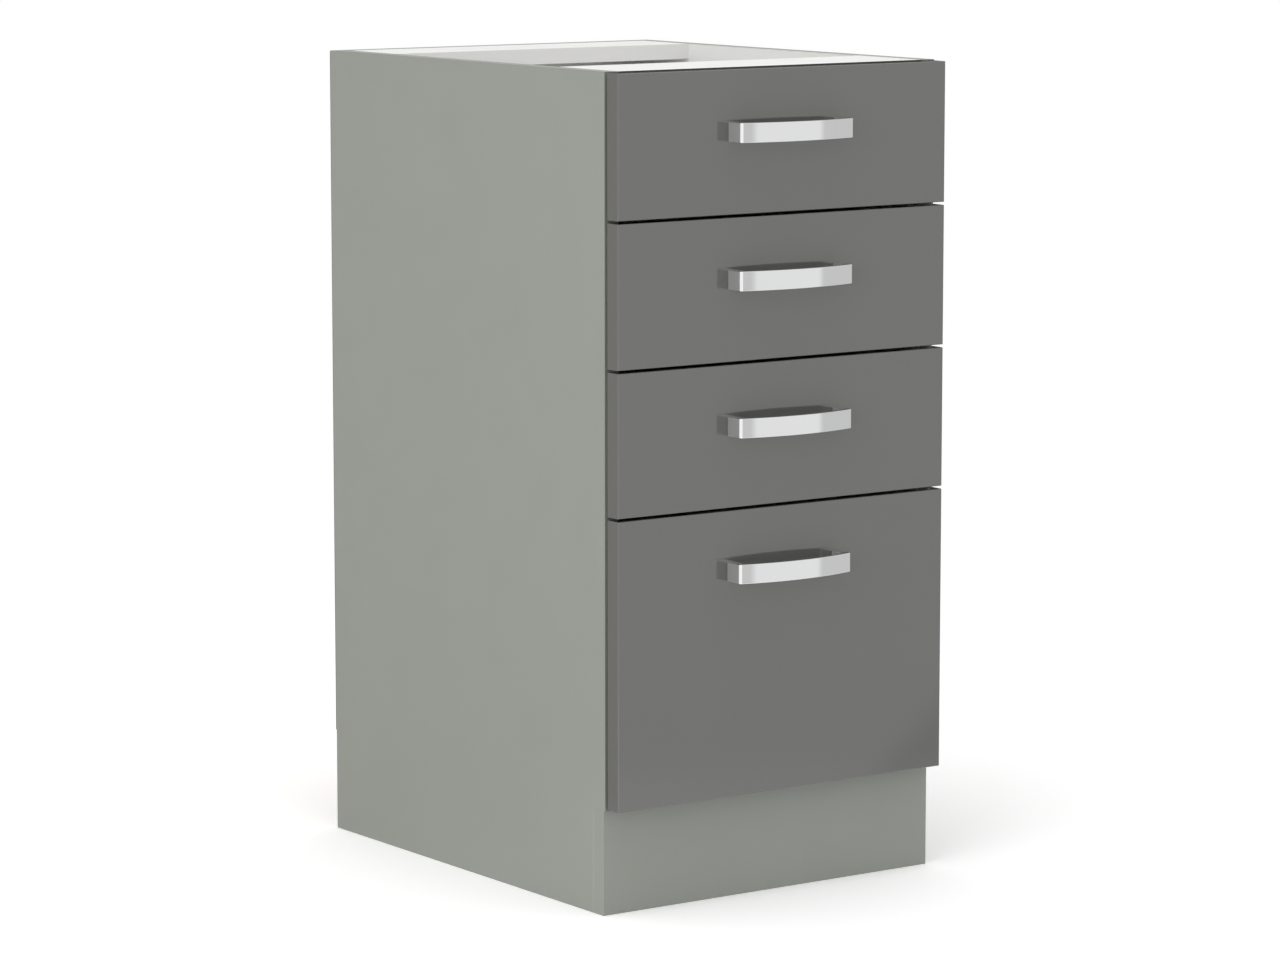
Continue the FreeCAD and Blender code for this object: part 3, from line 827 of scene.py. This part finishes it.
# %% [markdown]
# Rollers are moulded in milky nylon, with cloudy flow marks. Dowels are beech, whose fine rays run along the
# dowel. The bumpers are clear silicone with a slight frost. Real silicone scatters light inside, which takes
# long to render, so these thin pads are a little see-through instead.

# %% Nylon, beech and silicone
SOFT_EDGE_RADIUS = 0.0003
NYLON = shown(222, 221, 214)
NYLON_SHADE = 0.9
NYLON_ROUGHNESS = 0.36
FLOW_SIZE = 0.006
FLOW_DEPTH = 0.00002
FLOW_ROUGHNESS = 0.14
BEECH_LIGHT = shown(214, 176, 130)
BEECH_DARK = shown(170, 126, 84)
BEECH_ROUGHNESS = 0.6
BEECH_EDGE_RADIUS = 0.0002
WOOD_RAY_SIZE = 0.0009
WOOD_RAY_DRAW = (14, 1, 1)
WOOD_RAY_DEPTH = 0.00004
WOOD_RAY_ROUGHNESS = 0.15
SILICONE_DARK = shown(226, 229, 229)
SILICONE_LIGHT = shown(240, 242, 242)
SILICONE_ROUGHNESS = 0.28
SILICONE_CLEAR = 0.25
SILICONE_IOR = 1.41
SILICONE_EDGE_RADIUS = 0.0002
FROST_SIZE = 0.0008
FROST_DEPTH = 0.00001
FROST_ROUGHNESS = 0.12


def nylon():
    """Milky moulded nylon."""
    material, place, _ = new_finish("milky_nylon")
    flow = grain(place, FLOW_SIZE, detail=4.0)
    finish_with(place, {
        "Base Color": between(flow, times(NYLON, NYLON_SHADE), NYLON),
        "Roughness": NYLON_ROUGHNESS + FLOW_ROUGHNESS * flow,
        "Normal": bumped(place, flow, FLOW_DEPTH, SOFT_EDGE_RADIUS),
    })
    return material


def beech():
    """Beech with its grain along the dowel."""
    material, place, _ = new_finish("beech")
    wood_rays = grain(place, WOOD_RAY_SIZE, detail=4.0, stretch=WOOD_RAY_DRAW)
    finish_with(place, {
        "Base Color": between(wood_rays, BEECH_DARK, BEECH_LIGHT),
        "Roughness": BEECH_ROUGHNESS + WOOD_RAY_ROUGHNESS * wood_rays,
        "Normal": bumped(place, wood_rays, WOOD_RAY_DEPTH, BEECH_EDGE_RADIUS),
    })
    return material


def silicone():
    """Clear soft silicone."""
    material, place, _ = new_finish("clear_silicone")
    frost = grain(place, FROST_SIZE)
    finish_with(place, {
        "Base Color": between(frost, SILICONE_DARK, SILICONE_LIGHT),
        "Roughness": SILICONE_ROUGHNESS + FROST_ROUGHNESS * frost,
        "Transmission Weight": SILICONE_CLEAR,
        "IOR": SILICONE_IOR,
        "Normal": bumped(place, frost, FROST_DEPTH, SILICONE_EDGE_RADIUS),
    })
    return material


hardware.update({"roller_nylon": nylon(), "beech": beech(), "bumper_silicone": silicone()})
fittings = [part for part in frame["record"]["subparts"] if part["material_slot"] in hardware]
for part in fittings:
    dress(part["node"], hardware[part["material_slot"]])
print(f"{len(fittings)} pieces of hardware are dressed")

# %% [markdown]
# Screws and cams have a cross recess for the driver, and a cam also has an arrow that shows which way it
# locks. The solids have plain heads, so these pieces are made again here with recesses. Painted crosses
# would be quicker, but a recess catches light on its walls. First the heads are found. Their places could be
# listed, but measuring is safer: a fastener is as wide as its head, and its head is at its wide end. A cam
# is as wide at both ends, and it faces inward or down, so its head is the end nearer to the origin.

# %% Finding the heads of screws and cams
JOIN_DISTANCE = 0.000001
END_SLICE = 0.00005


def joined_mesh(node):
    """A node's mesh with its corners joined, so that each solid in it is closed."""
    shape = bmesh.new()
    shape.from_mesh(nodes[node].data)
    bmesh.ops.remove_doubles(shape, verts=shape.verts, dist=JOIN_DISTANCE)
    return shape


def loose_solids(shape):
    """The points of each solid in a mesh."""
    seen = set()
    solids = []
    for start in shape.verts:
        if start in seen:
            continue
        seen.add(start)
        found = [start]
        for point in found:
            for edge in point.link_edges:
                other = edge.other_vert(point)
                if other not in seen:
                    seen.add(other)
                    found.append(other)
        solids.append([point.co for point in found])
    return solids


def head_of(points):
    """Width of a fastener's head, and the matrix that takes a flat drawing to the head, face outward."""
    low = Vector([min(point[axis] for point in points) for axis in range(3)])
    high = Vector([max(point[axis] for point in points) for axis in range(3)])
    size = high - low
    axis = min(range(3), key=lambda a: abs(size[a - 1] - size[a - 2]))
    width = max(size[axis - 1], size[axis - 2])
    centre = (low + high) / 2

    def reach(end):
        rim = [point - centre for point in points if abs(point[axis] - end) < END_SLICE]
        return max(math.hypot(offset[axis - 1], offset[axis - 2]) for offset in rim)

    ends = sorted((low[axis], high[axis]), key=abs)
    wide_end = ends[1] if reach(ends[1]) > reach(ends[0]) + END_SLICE else ends[0]
    outward = Vector((0, 0, 0))
    outward[axis] = 1 if wide_end > centre[axis] else -1
    along = Vector((0, 0, 0))
    along[axis - 1] = 1
    centre[axis] = wide_end
    place = Matrix((along, outward.cross(along), outward)).transposed().to_4x4()
    return width, Matrix.Translation(centre) @ place


print("heads can be found and measured")

# %% [markdown]
# A recess is the hole that a tapered plug leaves. The plug is drawn once at the face and once, smaller, at
# the bottom, and walls join the two. For a cross it is a plus sign with twelve corners: one arm is three
# corners, turned four times.

# %% Plugs that leave a recess
RECESS_OVER = 0.0003
RECESS_TAPER = 0.72


def cross_outline(span, arm, turn):
    """The twelve corners of a plus sign, turned by an angle."""
    half = arm / 2
    corners = [Vector((span / 2, -half)), Vector((span / 2, half)), Vector((half, half))]
    turns = [Matrix.Rotation(turn + quarter * math.pi / 2, 2) for quarter in range(4)]
    return [rotation @ corner for rotation in turns for corner in corners]


def add_plug(shape, outline, place, depth):
    """Adds a plug that goes through the face of a head and tapers round its own middle, down to a depth."""
    centre = sum(outline, Vector((0, 0))) / len(outline)
    rims = []
    for height, scale in ((RECESS_OVER, 1.0), (-depth, RECESS_TAPER)):
        flat = [centre.lerp(corner, scale) for corner in outline]
        rims.append([shape.verts.new(place @ Vector((*corner, height))) for corner in flat])
    top, bottom = rims
    shape.faces.new(top)
    shape.faces.new(bottom[::-1])
    for index in range(len(outline)):
        shape.faces.new((bottom[index - 1], bottom[index], top[index], top[index - 1]))


print(f"a recess is {100 * RECESS_TAPER:.0f} percent as wide at its bottom")

# %% [markdown]
# All plugs of a node are cut out of a copy of its fasteners in one go, by a Boolean. The exact kind is
# slower than the fast one, but it leaves every solid closed. The width of a head says which recess it gets.
# Screws stop at any angle, so each cross is turned on from the last one by an odd number of degrees.

# %% Cutting the recesses
WIDTH_TOLERANCE = 0.0001
RAIL_SCREW_WIDTH = 0.007
BOX_SCREW_WIDTH = 0.008
CAM_WIDTH = 0.015
RECESSES = {
    RAIL_SCREW_WIDTH: {"span": 0.0042, "arm": 0.0011, "depth": 0.0009},
    BOX_SCREW_WIDTH: {"span": 0.0048, "arm": 0.0012, "depth": 0.0016},
    CAM_WIDTH: {"span": 0.008, "arm": 0.0022, "depth": 0.0024},
}
RECESS_TURN = math.radians(37)
CAM_ARROW = [Vector((0.0068, 0)), Vector((0.0047, 0.0013)), Vector((0.0047, -0.0013))]
CAM_ARROW_DEPTH = 0.0005
SHARP_ANGLE = math.radians(35)


def object_of(shape, name):
    """A new object with a plain copy of a bmesh."""
    shape.verts.index_update()
    points = [point.co for point in shape.verts]
    faces = [[point.index for point in face.verts] for face in shape.faces]
    mesh = bpy.data.meshes.new(name)
    mesh.from_pydata(points, [], faces)
    shape.free()
    made = bpy.data.objects.new(name, mesh)
    scene.collection.objects.link(made)
    return made


def plugs_for(shape):
    """The plugs for all heads in a mesh of fasteners, and how many heads there are."""
    plugs = bmesh.new()
    count = 0
    for points in loose_solids(shape):
        width, place = head_of(points)
        for head_width, recess in RECESSES.items():
            if abs(width - head_width) < WIDTH_TOLERANCE:
                outline = cross_outline(recess["span"], recess["arm"], count * RECESS_TURN)
                add_plug(plugs, outline, place, recess["depth"])
                count += 1
                if head_width == CAM_WIDTH:
                    add_plug(plugs, CAM_ARROW, place, CAM_ARROW_DEPTH)
    return plugs, count


def recessed(node, body):
    """Puts a copy of a node's fasteners, with recesses in their heads, in the place of the node."""
    shape = joined_mesh(node)
    plugs, count = plugs_for(shape)
    piece = object_of(shape, f"{node}_recessed")
    cutter = object_of(plugs, f"{node}_plugs")
    cut = piece.modifiers.new("recesses", "BOOLEAN")
    cut.object = cutter
    cut.solver = "EXACT"
    mesh = bpy.data.meshes.new_from_object(piece.evaluated_get(bpy.context.evaluated_depsgraph_get()))
    piece.modifiers.clear()
    piece.data = mesh
    bpy.data.objects.remove(cutter)
    mesh.polygons.foreach_set("use_smooth", [True] * len(mesh.polygons))
    mesh.set_sharp_from_angle(angle=SHARP_ANGLE)
    mesh.materials.append(hardware["zinc_steel"])
    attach(piece, body)
    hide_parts(node)
    return count


fastener_bodies = {"cam_locks": "carcass", "carcass_screws": "carcass"}
fastener_bodies.update({f"{drawer}_fasteners": drawer for drawer in DRAWERS})
for node, body in fastener_bodies.items():
    print(f"{recessed(node, body)} heads of {node} have a recess")
